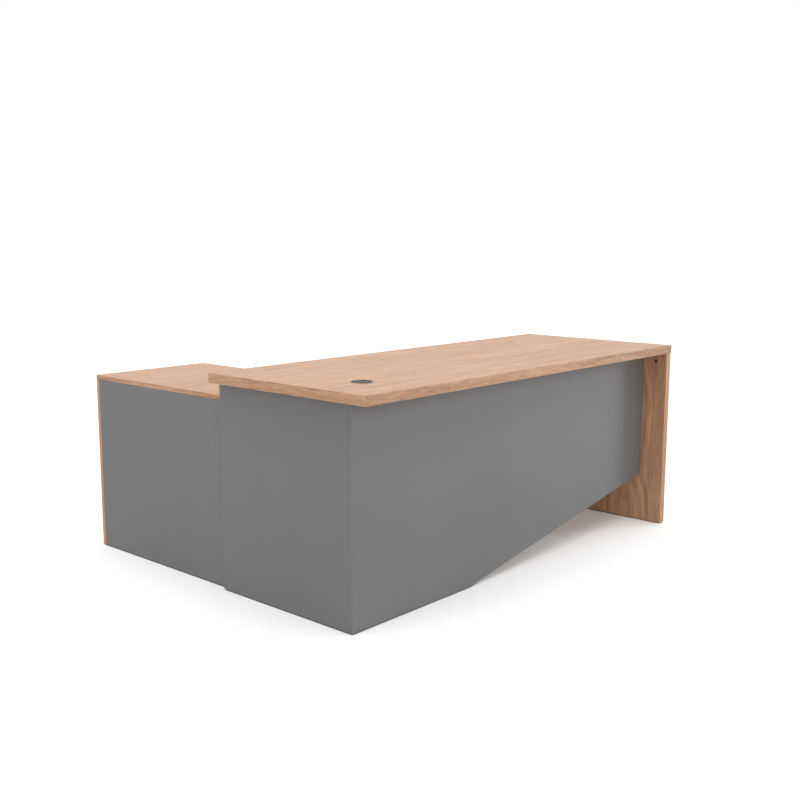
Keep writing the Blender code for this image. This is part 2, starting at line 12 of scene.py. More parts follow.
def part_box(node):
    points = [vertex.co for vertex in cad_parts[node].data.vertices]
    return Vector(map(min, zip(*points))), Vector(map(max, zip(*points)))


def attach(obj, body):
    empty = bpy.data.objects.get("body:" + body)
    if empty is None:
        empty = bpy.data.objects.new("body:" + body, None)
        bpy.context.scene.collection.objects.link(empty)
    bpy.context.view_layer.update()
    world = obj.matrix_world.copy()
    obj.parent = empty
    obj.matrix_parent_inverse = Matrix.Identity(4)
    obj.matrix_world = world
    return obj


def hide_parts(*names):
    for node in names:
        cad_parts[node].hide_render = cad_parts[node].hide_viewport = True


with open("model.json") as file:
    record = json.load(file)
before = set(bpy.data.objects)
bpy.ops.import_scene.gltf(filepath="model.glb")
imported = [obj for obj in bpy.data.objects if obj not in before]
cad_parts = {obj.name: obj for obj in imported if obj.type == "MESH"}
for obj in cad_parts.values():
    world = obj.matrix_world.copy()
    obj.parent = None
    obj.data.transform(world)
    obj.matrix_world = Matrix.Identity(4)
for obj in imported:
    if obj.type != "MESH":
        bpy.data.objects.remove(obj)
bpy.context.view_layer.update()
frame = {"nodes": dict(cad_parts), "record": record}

bl_info = {
    "name": "L-shaped office desk",
    "version": (1, 0, 0),
    "blender": (4, 5, 0),
    "location": "3D View > Sidebar > Desk",
    "description": "Makes the boards, fittings and finishes of an L-shaped office desk",
    "category": "Object",
}

SLOT_OF = {row["node"]: row["material_slot"] for row in frame["record"]["subparts"]}
BODY_OF = {
    node: body
    for body, nodes in frame["record"]["behaviour"]["bodies"].items()
    for node in nodes
}
OPENING_OF = {
    row["name"]: [Vector(corner) for corner in row["box_m"]]
    for row in frame["record"]["physics"]["openings"]
}
X_AXIS = Vector((1.0, 0.0, 0.0))
Y_AXIS = Vector((0.0, 1.0, 0.0))
Z_AXIS = Vector((0.0, 0.0, 1.0))
AXES = (X_AXIS, Y_AXIS, Z_AXIS)
QUARTER_TURN = math.pi / 2
TOUCH = 1e-5
FACE, BAND_A, BAND_B, CORE = range(4)

DRAWERS = (1, 2, 3)
GLIDES = range(1, 7)
SHELF_PINS = range(1, 9)
FAR_SHELF_PINS = (3, 4, 7, 8)

RECESS_REACH, RECESS_WIDTH, RECESS_DEPTH, RECESS_TAPER = 0.0036, 0.0008, 0.0030, 0.55
RUNNER_SLOTS = (0.08, 0.30, 0.62, 0.92)
RUNNER_SLOT_LENGTH, RUNNER_SLOT_WIDTH, RUNNER_SLOT_ROUND = 0.011, 0.0046, 0.00225
TRAY_BORDER, TRAY_SLOPE, TRAY_PRESS = 0.028, 0.003, 0.0016
HEM_DROP, HEM_ROUND = 0.005, 0.0011
HANDLE_EASE = 0.0006
LOCK_STEPS = 48
LOCK_TAIL = 0.003
KEYWAY_HALF = Vector((0.0036, 0.00065, 0.0090))
NUT_RADIUS, NUT_THICKNESS = 0.0056, 0.0022

TOP_LAMP_PLACE = Vector((-0.4, -0.2, 4.0))
SIDE_LAMP_PLACE = Vector((4.0, -2.2, 0.8))
FILL_LAMP_PLACE = Vector((-4.0, 0.0, 0.6))
FLOOR_SIZE = 60.0
# How far the floor's painted shade looks for boards above it
FLOOR_PAINTED_SHADE_REACH = 0.02
SENSOR_WIDTH = 36.0
VIEW_LIMIT = 200.0


def a_length(name, description, default):
    """A length for a user to change."""
    return FloatProperty(
        name=name, description=description, default=default, unit="LENGTH", precision=5)


def an_angle(name, description, default):
    """An angle for a user to change."""
    return FloatProperty(name=name, description=description, default=default, subtype="ANGLE")


def an_amount(name, description, default):
    """A strength for a user to change."""
    return FloatProperty(name=name, description=description, default=default, min=0.0)


def a_count(name, description, default, least=1):
    """A count for a user to change."""
    return IntProperty(name=name, description=description, default=default, min=least)


def a_colour(name, description, *default):
    """A colour for a user to change."""
    return FloatVectorProperty(
        name=name, description=description, default=default, size=3, subtype="COLOR",
        min=0.0, max=1.0)


class BoardSizes(bpy.types.PropertyGroup):
    """Sizes that all the boards share."""

    arris: FloatProperty(
        name="Arris", description="Rounding of an arris, as a share of the board's thickness",
        default=0.034, min=0.01, max=0.2)
    arris_steps: a_count("Arris steps", "Facets round an arris", 3)
    band: a_length("Band", "Flat of the edge band that shows on a board's face", 0.0009)
    hairline: a_length("Hairline", "Width and depth of the joint between band and face", 0.00012)
    foot_length: a_length("Foot length", "Level part of the modesty panel's lower edge", 0.565)
    slant_rise: a_length("Slant rise", "Rise of the modesty panel's lower edge at the leg", 0.196)
    fit: a_length("Fit", "Clearance of a fitting in its bore", 0.0003)
    pin_pitch: a_length("Pin pitch", "Spacing of the shelf pin holes", 0.032)
    pin_holes: a_count("Pin holes", "Holes in each row of shelf pin holes", 5)
    pin_bore: a_length("Pin bore", "Radius of a shelf pin hole", 0.0028)
    pivot_bore: a_length("Pivot bore", "Radius of a door pivot's hole", 0.0033)
    lock_bore: a_length("Lock bore", "Radius of the lock's hole in the door", 0.0083)


class FittingSizes(bpy.types.PropertyGroup):
    """Sizes of the metal and plastic fittings."""

    steps: a_count("Steps", "Facets round a small turned fitting", 32, 8)
    grommet_steps: a_count("Grommet steps", "Facets round the grommet", 96, 16)
    liner_wall: a_length("Liner wall", "Wall of the grommet's liner", 0.0015)
    ledge: a_length("Ledge", "Width of the ledge that carries the cap", 0.002)
    flange: a_length("Flange", "Thickness of the grommet's flange", 0.0017)
    grommet_bore: a_length("Grommet bore", "Radius of the grommet's hole in the desktop", 0.030)
    slot_radius: a_length("Slot radius", "Radius of the cap's cable slot", 0.013)
    slot_depth: a_length("Slot depth", "Depth of the cap's cable slot from its rim", 0.012)
    slot_direction: an_angle(
        "Slot direction", "Direction of the cable slot from the X axis", math.radians(28.0))
    sheet: a_length("Tray sheet", "Thickness of the drawer trays' steel", 0.0012)
    hem: a_length("Hem", "Width of the rim folded in round a tray", 0.006)
    lip_width: a_length("Lip width", "Width of the lip that rides in a runner", 0.010)
    lip_height: a_length("Lip height", "Height of the lip above a tray's bottom", 0.030)
    channel: a_length("Channel", "Thickness of the runners' steel", 0.0015)
    bend: a_length("Sheet bend", "Radius of a bend in sheet steel", 0.002)
    handle_bend: a_length("Handle bend", "Radius of a handle's bends, on its middle line", 0.012)
    bend_steps: a_count("Bend steps", "Facets along a handle's bend", 10, 2)


class FinishColours(bpy.types.PropertyGroup):
    """Colours of the finishes."""

    oak_light: a_colour("Oak, light", "Early wood of the oak laminate", 0.735, 0.434, 0.257)
    oak_middle: a_colour("Oak, middle", "Main tone of the oak laminate", 0.630, 0.350, 0.198)
    oak_dark: a_colour("Oak, dark", "Late wood of the oak laminate", 0.440, 0.225, 0.119)
    oak_pore: a_colour("Oak, pores", "Open pores of the oak laminate", 0.250, 0.130, 0.070)
    grey: a_colour("Grey", "Grey laminate of the panels", 0.219, 0.219, 0.220)
    core: a_colour("Core", "Chipboard inside a bore", 0.520, 0.390, 0.250)
    graphite: a_colour("Graphite", "Plastic of the grommet and the cams", 0.110, 0.092, 0.082)
    black: a_colour("Black", "Plastic of the glides", 0.020, 0.020, 0.020)
    zinc: a_colour("Zinc", "Zinc plated steel of runners, pins and bolts", 0.620, 0.625, 0.630)
    tray: a_colour("Tray", "Powder coat of the drawer trays", 0.480, 0.485, 0.490)
    nickel: a_colour("Nickel", "Satin nickel of the handles and the lock", 0.660, 0.640, 0.605)


class StageSettings(bpy.types.PropertyGroup):
    """Camera, lamps and floor."""

    lens: FloatProperty(
        name="Lens", description="Focal length on a 36 mm sensor", default=46.716,
        subtype="DISTANCE_CAMERA")
    place: FloatVectorProperty(
        name="Camera", description="Where the camera stands",
        default=(-2.962538, -2.686931, 1.188343), size=3, subtype="TRANSLATION")
    yaw: an_angle("Yaw", "Turn of the view from the X axis", 0.726913)
    pitch: an_angle("Pitch", "Tilt of the view below the level", 0.160206)
    roll: an_angle("Roll", "Lean of the camera", 0.0029822)
    ambient: an_amount("Ambient", "Even light from all round", 0.555)
    top_lamp: an_amount("Top lamp", "Strength of the soft lamp overhead", 1.09)
    top_spread: an_angle(
        "Top lamp spread", "Apparent width of the lamp overhead", math.radians(70.0))
    side_lamp: an_amount("Side lamp", "Strength of the low lamp at the right", 0.98)
    side_spread: an_angle(
        "Side lamp spread", "Apparent width of the lamp at the right", math.radians(17.0))
    fill_lamp: an_amount("Fill lamp", "Strength of the low lamp at the left", 0.50)
    fill_spread: an_angle(
        "Fill lamp spread", "Apparent width of the lamp at the left", math.radians(70.0))
    floor_colour: a_colour("Floor", "Colour of the floor", 0.700, 0.700, 0.700)
    floor_lift: an_amount("Floor lift", "What the camera sees added to the floor's colour", 0.65)


def clear_selection():
    """Leaves edit mode and selects nothing."""
    if bpy.context.mode != "OBJECT":
        bpy.ops.object.mode_set(mode="OBJECT")
    bpy.ops.object.select_all(action="DESELECT")


def work_on(piece):
    """Makes one piece the only selected one."""
    clear_selection()
    piece.select_set(True)
    bpy.context.view_layer.objects.active = piece


def edit(piece):
    """Opens a piece in edit mode with nothing selected."""
    work_on(piece)
    bpy.ops.object.mode_set(mode="EDIT")
    bpy.ops.mesh.select_all(action="DESELECT")


def pick(piece, kind, wanted):
    """Selects the faces or edges of the piece in edit mode that wanted says yes to."""
    bpy.ops.mesh.select_mode(type="FACE" if kind == "faces" else "EDGE")
    bpy.ops.mesh.select_all(action="DESELECT")
    shape = bmesh.from_edit_mesh(piece.data)
    found = [item for item in getattr(shape, kind) if wanted(item)]
    if not found:
        raise RuntimeError(f"{piece.name} has no {kind} to select")
    for item in found:
        item.select_set(True)
    bmesh.update_edit_mesh(piece.data)


def pick_all():
    """Selects all of the piece in edit mode."""
    bpy.ops.mesh.select_all(action="SELECT")


def edge_span(edge, axis):
    """How far an edge reaches along an axis."""
    start, end = edge.verts
    return abs(start.co[axis] - end.co[axis])


def extrude(step):
    """Extrudes the selected edges by a step."""
    bpy.ops.mesh.extrude_edges_move(TRANSFORM_OT_translate={"value": step})


def scale_about(centre, ratios):
    """Scales what is selected about a centre."""
    bpy.ops.transform.resize(value=ratios, center_override=centre)


def round_off(offset, segments, clamp=False):
    """Rounds the selected edges."""
    bpy.ops.mesh.bevel(offset=offset, segments=segments, affect="EDGES", clamp_overlap=clamp)


def done():
    """Closes edit mode."""
    bpy.ops.object.mode_set(mode="OBJECT")


def apply_place(piece):
    """Puts a piece's place, turn and scale into its mesh."""
    work_on(piece)
    bpy.ops.object.transform_apply(location=True, rotation=True, scale=True)


def rename(piece, name):
    """Names a piece and its mesh."""
    piece.name = name
    piece.data.name = name
    return piece


def added(name):
    """Names the primitive that was just added, and puts its place into its mesh."""
    piece = rename(bpy.context.object, name)
    apply_place(piece)
    return piece


def add_block(name, low, high):
    """A block between two corners."""
    clear_selection()
    bpy.ops.mesh.primitive_cube_add(size=1.0, location=(low + high) / 2)
    bpy.context.object.scale = high - low
    return added(name)


def add_rod(name, low, high, axis, radius, steps):
    """A round rod along one axis, in the middle of a box and as long as it."""
    turn = Z_AXIS.rotation_difference(AXES[axis]).to_euler()
    clear_selection()
    bpy.ops.mesh.primitive_cylinder_add(
        vertices=steps, radius=radius, depth=high[axis] - low[axis], location=(low + high) / 2,
        rotation=turn)
    return added(name)


def turn_up(name, profile, steps, ring=False):
    """A turned piece on +Z: a circle extruded and scaled from point to point of a profile."""
    radius, height = profile[0]
    clear_selection()
    bpy.ops.mesh.primitive_circle_add(vertices=steps, radius=radius, location=(0.0, 0.0, height))
    piece = added(name)
    edit(piece)
    bpy.ops.mesh.select_mode(type="EDGE")
    pick_all()
    for next_radius, next_height in profile[1:]:
        extrude((0.0, 0.0, next_height - height))
        ratio = next_radius / radius
        scale_about((0.0, 0.0, next_height), (ratio, ratio, 1.0))
        radius, height = next_radius, next_height
    if ring:
        bpy.ops.mesh.select_all(action="DESELECT")
        bpy.ops.mesh.select_non_manifold()
        bpy.ops.mesh.bridge_edge_loops()
    else:
        fill_ends()
    outward_normals()
    done()
    return piece


def fill_ends():
    """Closes the open ends of the piece in edit mode."""
    pick_all()
    bpy.ops.mesh.fill_holes(sides=0)


def outward_normals():
    """Turns the faces of the piece in edit mode outwards."""
    pick_all()
    bpy.ops.mesh.normals_make_consistent(inside=False)


def ease_edges(piece, offset):
    """Rounds a piece's sharp edges."""
    edit(piece)
    bpy.ops.mesh.select_mode(type="EDGE")
    bpy.ops.mesh.edges_select_sharp(sharpness=math.radians(40.0))
    round_off(offset, 2, clamp=True)
    done()


def set_at(piece, point, axis):
    """Turns a piece from +Z to an axis and moves it to a point."""
    turn = Z_AXIS.rotation_difference(axis).to_matrix().to_4x4()
    piece.matrix_world = Matrix.Translation(point) @ turn
    apply_place(piece)


def copy_of(piece, name):
    """A copy of a piece, with a mesh of its own."""
    work_on(piece)
    bpy.ops.object.duplicate()
    return rename(bpy.context.object, name)


def apply_modifier(piece, kind, **settings):
    """Adds a modifier to a piece and applies it."""
    work_on(piece)
    bpy.ops.object.modifier_add(type=kind)
    modifier = piece.modifiers[-1]
    for key, value in settings.items():
        setattr(modifier, key, value)
    bpy.ops.object.modifier_apply(modifier=modifier.name)


def thicken(piece, thickness):
    """Gives a sheet its thickness, inwards."""
    apply_modifier(piece, "SOLIDIFY", thickness=thickness, offset=-1.0, use_even_offset=True)


def combine(piece, tool, operation="DIFFERENCE"):
    """Cuts a tool out of a piece, or joins it on, and takes the tool away."""
    apply_modifier(piece, "BOOLEAN", operation=operation, object=tool, solver="EXACT")
    bpy.data.meshes.remove(tool.data)


def smooth(piece):
    """Smooth shading over gentle edges, with flat faces kept flat."""
    work_on(piece)
    bpy.ops.object.shade_smooth_by_angle(angle=math.radians(38.0))
    apply_modifier(piece, "WEIGHTED_NORMAL", keep_sharp=True)


def settle(piece, node):
    """Finishes a piece, with its slot's finish where it has none, and gives it the body of a node,
    whose part it hides.
    """
    if not piece.data.materials:
        piece.data.materials.append(fitting_finish(node))
    edit(piece)
    pick_all()
    bpy.ops.mesh.remove_doubles(threshold=TOUCH)
    done()
    smooth(piece)
    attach(piece, BODY_OF[node])
    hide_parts(node)


def repeat(pattern, ending, places):
    """Sets a copy of a pattern on each node's point and axis, and takes the pattern away."""
    for node, (point, axis) in places.items():
        twin = copy_of(pattern, node + ending)
        set_at(twin, point, axis)
        settle(twin, node)
    bpy.data.meshes.remove(pattern.data)


def stack(stem):
    """How far up a piece made for the lowest drawer goes for each drawer."""
    nodes = [stem + str(number) for number in DRAWERS]
    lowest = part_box(nodes[0])[0].z
    return {node: (Z_AXIS * (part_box(node)[0].z - lowest), Z_AXIS) for node in nodes}


def refinish(nodes):
    """Gives nodes that stay as they are their finish."""
    for node in nodes:
        materials = frame["nodes"][node].data.materials
        materials.clear()
        materials.append(fitting_finish(node))


def middle_of(node):
    """The middle of a node's box."""
    low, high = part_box(node)
    return (low + high) / 2


class Finish:
    """A material in the making, laid out from its pattern to its shader."""

    def __init__(self, name, **sockets):
        self.colours = bpy.context.scene.desk_finishes
        self.material = bpy.data.materials.new(name)
        self.material.use_nodes = True
        self.tree = self.material.node_tree
        self.shader = self.tree.nodes["Principled BSDF"]
        for socket, value in sockets.items():
            self.shader.inputs[socket.replace("_", " ")].default_value = value

    def add(self, kind, inputs, **settings):
        """A node of a kind, with its inputs set or joined."""
        node = self.tree.nodes.new("ShaderNode" + kind)
        for key, value in settings.items():
            setattr(node, key, value)
        for socket, value in inputs.items():
            self.feed(node.inputs[socket], value)
        return node

    def feed(self, socket, value):
        """Joins an output to an input, or sets the input's value."""
        if isinstance(value, bpy.types.NodeSocket):
            self.tree.links.new(value, socket)
        else:
            socket.default_value = value

    def place(self, turn=(0.0, 0.0, 0.0), shift=(0.0, 0.0, 0.0)):
        """The piece's own coordinates, turned and shifted."""
        start = self.add("TexCoord", {}).outputs["Object"]
        mapping = self.add("Mapping", {"Vector": start, "Rotation": turn, "Location": shift})
        return mapping.outputs["Vector"]

    def noise(self, vector, scale, detail=2.0, roughness=0.5):
        """Noise with its own scale along each axis, about 0 to 1."""
        stretched = self.add("Mapping", {"Vector": vector, "Scale": scale}).outputs["Vector"]
        inputs = {"Vector": stretched, "Scale": 1.0, "Detail": detail, "Roughness": roughness}
        return self.add("TexNoise", inputs).outputs["Fac"]

    def texture(self, vector, scale, detail=2.0, roughness=0.5):
        """Noise with the whole of its range spread from 0 to 1."""
        return self.span(self.noise(vector, scale, detail, roughness), 0.30, 0.70)

    def rings(self, radius, scale, detail=5.0, roughness=0.6):
        """Growth rings of uneven width, by the distance from the heart, about 0 to 1."""
        inputs = {"W": radius, "Scale": scale, "Detail": detail, "Roughness": roughness}
        return self.add("TexNoise", inputs, noise_dimensions="1D").outputs["Fac"]

    def sum(self, first, second, operation="ADD"):
        """Two values added, or worked on by another operation."""
        return self.add("Math", {0: first, 1: second}, operation=operation).outputs["Value"]

    def times(self, first, second):
        """Two values multiplied."""
        return self.sum(first, second, "MULTIPLY")

    def span(self, value, low, high, new_low=0.0, new_high=1.0):
        """A value moved from one range to another, and kept in it."""
        inputs = {
            "Value": value, "From Min": low, "From Max": high,
            "To Min": new_low, "To Max": new_high}
        return self.add("MapRange", inputs).outputs["Result"]

    def ramp(self, value, stops):
        """Colours along a value."""
        node = self.add("ValToRGB", {"Fac": value})
        points = node.color_ramp.elements
        while len(points) < len(stops):
            points.new(0.5)
        for point, (position, colour) in zip(points, stops):
            point.position = position
            point.color = (*colour, 1.0)
        return node.outputs["Color"]

    def mix(self, factor, first, second, blend="MIX"):
        """Two colours mixed."""
        node = self.add("Mix", {0: factor}, data_type="RGBA", blend_type=blend)
        for socket, value in ((node.inputs[6], first), (node.inputs[7], second)):
            is_colour = not isinstance(value, bpy.types.NodeSocket)
            self.feed(socket, (*value, 1.0) if is_colour else value)
        return node.outputs[2]

    def colour(self, value):
        """Joins the colour to the shader."""
        self.feed(self.shader.inputs["Base Color"], value)

    def roughness(self, value, low, high):
        """A roughness between two limits, by a value from 0 to 1."""
        self.feed(self.shader.inputs["Roughness"], self.span(value, 0.0, 1.0, low, high))

    def bump(self, height, strength, distance):
        """A fine relief."""
        inputs = {"Height": height, "Strength": strength, "Distance": distance}
        self.feed(self.shader.inputs["Normal"], self.add("Bump", inputs).outputs["Normal"])

    def wear(self, vector, scale, most):
        """How much a board's arris is rubbed, up to a limit, and 0 away from the arris."""
        arris = self.add("Attribute", {}, attribute_name="arris", attribute_type="GEOMETRY")
        rubbed = self.span(self.noise(vector, even(scale), 3.0), 0.40, 0.65, 0.0, most)
        return self.times(arris.outputs["Fac"], rubbed)


def paler(colour, share):
    """A colour moved towards white."""
    return tuple(value + (1.0 - value) * share for value in colour)


def shade(colour, share):
    """A colour with only a share of its light."""
    return tuple(value * share for value in colour)


def even(scale):
    """The same scale along all axes."""
    return (scale, scale, scale)


GRAIN_TURNS = ((0.0, 0.0, 0.0), (0.0, 0.0, -QUARTER_TURN), (0.0, QUARTER_TURN, 0.0))


def oak_finish(name, grain, shift, figure, curl=3.0, stain=0.0):
    """Oak laminate, its grain along one axis.

    figure is how much its rings show, curl how often they sway in a metre, and stain darkens it.
    """
    finish = Finish(name, IOR=1.46)
    colours = finish.colours
    spot = finish.place(GRAIN_TURNS[grain], shift)
    drift = finish.span(finish.noise(spot, (0.9, 2.6, 2.6)), 0.0, 1.0, -0.030, 0.030)
    split = finish.add("SeparateXYZ", {"Vector": spot}).outputs
    across = finish.sum(split["Y"], drift)
    waved = finish.add(
        "CombineXYZ", {"X": split["X"], "Y": across, "Z": split["Z"]}).outputs["Vector"]
    broad = finish.texture(waved, (2.6, 36.0, 36.0), 4.0, 0.6)
    fine = finish.texture(waved, (18.0, 190.0, 190.0), 3.0, 0.65)
    sway = finish.span(finish.noise(spot, (curl, 1.2, 1.2)), 0.0, 1.0, -0.035, 0.035)
    taper = finish.times(split["X"], 0.055)
    depth = finish.sum(finish.sum(split["Z"], taper), sway)
    section = finish.add("CombineXYZ", {"Y": across, "Z": depth}).outputs["Vector"]
    from_heart = finish.add("VectorMath", {0: section}, operation="LENGTH").outputs["Value"]
    rings = finish.span(finish.rings(from_heart, 105.0), 0.34, 0.66)
    patchy = finish.span(finish.noise(spot, (1.4, 7.0, 7.0)), 0.40, 0.62, 0.35 * figure, figure)
    tone = finish.span(broad, 0.0, 1.0, stain, stain + 0.34)
    tone = finish.sum(tone, finish.times(rings, patchy))
    tone = finish.sum(tone, finish.times(fine, 0.36))
    wood = finish.ramp(tone, (
        (0.22, colours.oak_light), (0.46, colours.oak_middle), (0.86, colours.oak_dark)))
    pores = finish.span(finish.noise(waved, (38.0, 1300.0, 1300.0), 1.0), 0.60, 0.70)
    shown = finish.times(pores, finish.span(tone, 0.1, 0.9, 0.12, 0.45))
    wood = finish.mix(shown, wood, colours.oak_pore)
    worn = finish.wear(spot, 60.0, 0.35)
    finish.colour(finish.mix(worn, wood, paler(colours.oak_light, 0.15)))
    finish.roughness(finish.sum(finish.times(fine, 0.6), worn), 0.40, 0.56)
    finish.bump(finish.sum(1.0, pores, "SUBTRACT"), 0.35, 0.00012)
    return finish.material


def grey_finish(name):
    """Matt grey laminate with a fine print and a pearl texture."""
    finish = Finish(name, IOR=1.45)
    grey = finish.colours.grey
    spot = finish.place()
    specks = finish.span(finish.noise(spot, even(1100.0)), 0.35, 0.65)
    clouds = finish.texture(spot, even(3.0), 3.0)
    tone = finish.sum(finish.times(specks, 0.6), finish.times(clouds, 0.4))
    printed = finish.ramp(tone, ((0.0, shade(grey, 0.93)), (1.0, shade(grey, 1.07))))
    worn = finish.wear(spot, 70.0, 0.30)
    finish.colour(finish.mix(worn, printed, paler(grey, 0.22)))
    finish.roughness(finish.sum(clouds, worn), 0.46, 0.58)
    finish.bump(specks, 0.20, 0.00006)
    return finish.material


def core_finish(name):
    """Chipboard, as a bore shows it."""
    finish = Finish(name, Roughness=0.85)
    core = finish.colours.core
    chips = finish.noise(finish.place(), even(420.0), 3.0, 0.65)
    finish.colour(finish.ramp(
        chips, ((0.25, shade(core, 0.55)), (0.5, core), (0.75, paler(core, 0.3)))))
    finish.bump(chips, 0.6, 0.0004)
    return finish.material


def plastic_finish(name, colour, roughness):
    """Moulded plastic with a fine spark-eroded texture."""
    finish = Finish(name, Specular_IOR_Level=0.25)
    spot = finish.place()
    grain = finish.texture(spot, even(2600.0))
    sheen = finish.texture(spot, even(90.0), 3.0)
    finish.colour(finish.mix(
        finish.times(grain, sheen), shade(colour, 0.86), paler(colour, 0.04)))
    finish.roughness(sheen, roughness - 0.06, roughness + 0.06)
    finish.bump(grain, 0.25, 0.00008)
    return finish.material


def zinc_finish(name):
    """Bright zinc plate with a faint mottle."""
    finish = Finish(name, Metallic=1.0)
    zinc = finish.colours.zinc
    spot = finish.place()
    mottle = finish.texture(spot, even(240.0), 3.0)
    rolled = finish.texture(spot, (60.0, 1500.0, 1500.0))
    finish.colour(finish.mix(mottle, shade(zinc, 0.86), paler(zinc, 0.12)))
    finish.roughness(finish.times(mottle, rolled), 0.28, 0.46)
    finish.bump(rolled, 0.12, 0.00005)
    return finish.material


def tray_finish(name):
    """Powder coat with its orange peel."""
    finish = Finish(name, IOR=1.48)
    tray = finish.colours.tray
    spot = finish.place()
    peel = finish.texture(spot, even(900.0))
    dust = finish.texture(spot, even(14.0), 4.0)
    finish.colour(finish.mix(dust, shade(tray, 0.95), paler(tray, 0.05)))
    finish.roughness(dust, 0.40, 0.52)
    finish.bump(peel, 0.30, 0.00010)
    return finish.material


def nickel_finish(name):
    """Satin nickel, brushed and dulled here and there by hands."""
    finish = Finish(name, Metallic=1.0)
    nickel = finish.colours.nickel
    spot = finish.place()
    brushed = finish.texture(spot, (2400.0, 90.0, 2400.0))
    touched = finish.span(finish.noise(spot, even(55.0), 3.0), 0.35, 0.65)
    finish.colour(finish.mix(touched, shade(nickel, 0.92), paler(nickel, 0.08)))
    dull = finish.sum(finish.times(brushed, 0.5), finish.times(touched, 0.5))
    finish.roughness(dull, 0.27, 0.42)
    finish.bump(brushed, 0.10, 0.00004)
    return finish.material


OAK_FACES = {
    "desktop": ("Oak laminate desktop", 0, (0.0, 0.395, -0.690), 0.36),
    "return_top": ("Oak laminate return top", 0, (0.4, -0.130, -0.600), 0.36),
    "right_leg_panel": ("Oak laminate leg", 2, (0.3, 0.560, 0.950), 0.40),
    "return_end_panel": ("Oak laminate end panel", 2, (0.7, -0.650, 0.560), 0.40),
}
OAK_BANDS = (
    ("Oak band along X", 0, (0.33, 0.742, -0.715), 0.80, 13.0, -0.03),
    ("Oak band along Y", 1, (0.71, 0.13, 0.29), 0.34, 5.0, 0.03),
    ("Oak band along Z", 2, (0.57, 0.31, 0.23), 0.30, 3.0, 0.10),
)


def finish_by_name(make, name, *details):
    """The material of that name, made on its first use."""
    return bpy.data.materials.get(name) or make(name, *details)


def board_finishes(node, along_a, along_b):
    """The finishes of a board: its faces, its bands along two axes, and its core."""
    core = finish_by_name(core_finish, "Chipboard core")
    if node in OAK_FACES:
        bands = [finish_by_name(oak_finish, *OAK_BANDS[axis]) for axis in (along_a, along_b)]
        return finish_by_name(oak_finish, *OAK_FACES[node]), *bands, core
    band = finish_by_name(grey_finish, "Grey laminate band")
    return finish_by_name(grey_finish, "Grey laminate"), band, band, core


def fitting_finish(node):
    """The finish of a fitting, by its slot."""
    colours = bpy.context.scene.desk_finishes
    makers = {
        "graphite_plastic": (plastic_finish, "Graphite plastic", colours.graphite, 0.62),
        "black_plastic": (plastic_finish, "Black plastic", colours.black, 0.42),
        "zinc_steel": (zinc_finish, "Zinc plate"),
        "tray_paint": (tray_finish, "Tray powder coat"),
        "satin_steel": (nickel_finish, "Satin nickel"),
    }
    return finish_by_name(*makers[SLOT_OF[node]])


def plain_board(node):
    """A board as a plain block, in a node's place."""
    return add_block(node + "_board", *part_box(node))


def start_board(node):
    """A banded board, in a node's place."""
    board = plain_board(node)
    band_board(board, node)
    return board


def band_board(board, node):
    """Rounds a board's arrises, and parts its bands from its faces by a hairline."""
    sizes = bpy.context.scene.desk_boards
    low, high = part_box(node)
    extent = high - low
    thin = min(range(3), key=lambda axis: extent[axis])
    along_a, along_b = [axis for axis in range(3) if axis != thin]
    edit(board)
    bpy.ops.mesh.select_mode(type="EDGE")
    pick_all()
    round_off(sizes.arris * extent[thin], sizes.arris_steps)
    pick(board, "faces", lambda face: abs(face.normal[thin]) > 0.999)
    bpy.ops.mesh.inset(thickness=sizes.band)
    bpy.ops.mesh.inset(thickness=sizes.hairline, depth=-sizes.hairline)
    bpy.ops.mesh.inset(thickness=sizes.hairline, depth=sizes.hairline)
    done()
    for finish in board_finishes(node, along_a, along_b):
        board.data.materials.append(finish)
    arris = board.data.attributes.new("arris", "FLOAT", "FACE")
    for polygon, mark in zip(board.data.polygons, arris.data):
        gaps = {axis: min(polygon.center[axis] - low[axis], high[axis] - polygon.center[axis])
                for axis in (along_a, along_b)}
        band = BAND_B if gaps[along_a] < gaps[along_b] else BAND_A
        polygon.material_index = FACE if polygon.select else band
        is_flat = max(abs(value) for value in polygon.normal) > 0.999
        mark.value = 0.0 if polygon.select or is_flat else 1.0


def cut_core(board, tool):
    """Cuts a tool out of a board, down to its core."""
    for slot in board.material_slots:
        tool.data.materials.append(slot.material)
    for polygon in tool.data.polygons:
        polygon.material_index = CORE
    combine(board, tool)


def odd_axis(low, high):
    """The axis of a round fitting: the one along which its box differs from the other two."""
    extent = high - low
    spread = {axis: abs(extent[(axis + 1) % 3] - extent[(axis + 2) % 3]) for axis in range(3)}
    return min(spread, key=spread.get)


def bore(board, node, radius=None):
    """Bores a board for a fitting."""
    fit = bpy.context.scene.desk_boards.fit
    low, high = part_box(node)
    axis = odd_axis(low, high)
    if radius is None:
        radius = (high[axis - 1] - low[axis - 1]) / 2 + fit
    slack = AXES[axis] * fit
    steps = bpy.context.scene.desk_fittings.steps
    cut_core(board, add_rod("bore", low - slack, high + slack, axis, radius, steps))


def bore_for_cams(board, *fittings):
    """Bores a board for cams and the bolts that they pull."""
    for fitting in fittings:
        bore(board, fitting + "_cam")
        bore(board, fitting + "_bolt")


def bore_pin_row(board, pin):
    """Bores the row of shelf pin holes that a pin is one of."""
    sizes = bpy.context.scene.desk_boards
    low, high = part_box(pin)
    start = Z_AXIS * sizes.pin_pitch * (sizes.pin_holes // 2)
    steps = bpy.context.scene.desk_fittings.steps
    row = add_rod("pin row", low - start, high - start, odd_axis(low, high), sizes.pin_bore, steps)
    apply_modifier(
        row, "ARRAY", count=sizes.pin_holes, use_relative_offset=False, use_constant_offset=True,
        constant_offset_displace=Z_AXIS * sizes.pin_pitch)
    cut_core(board, row)


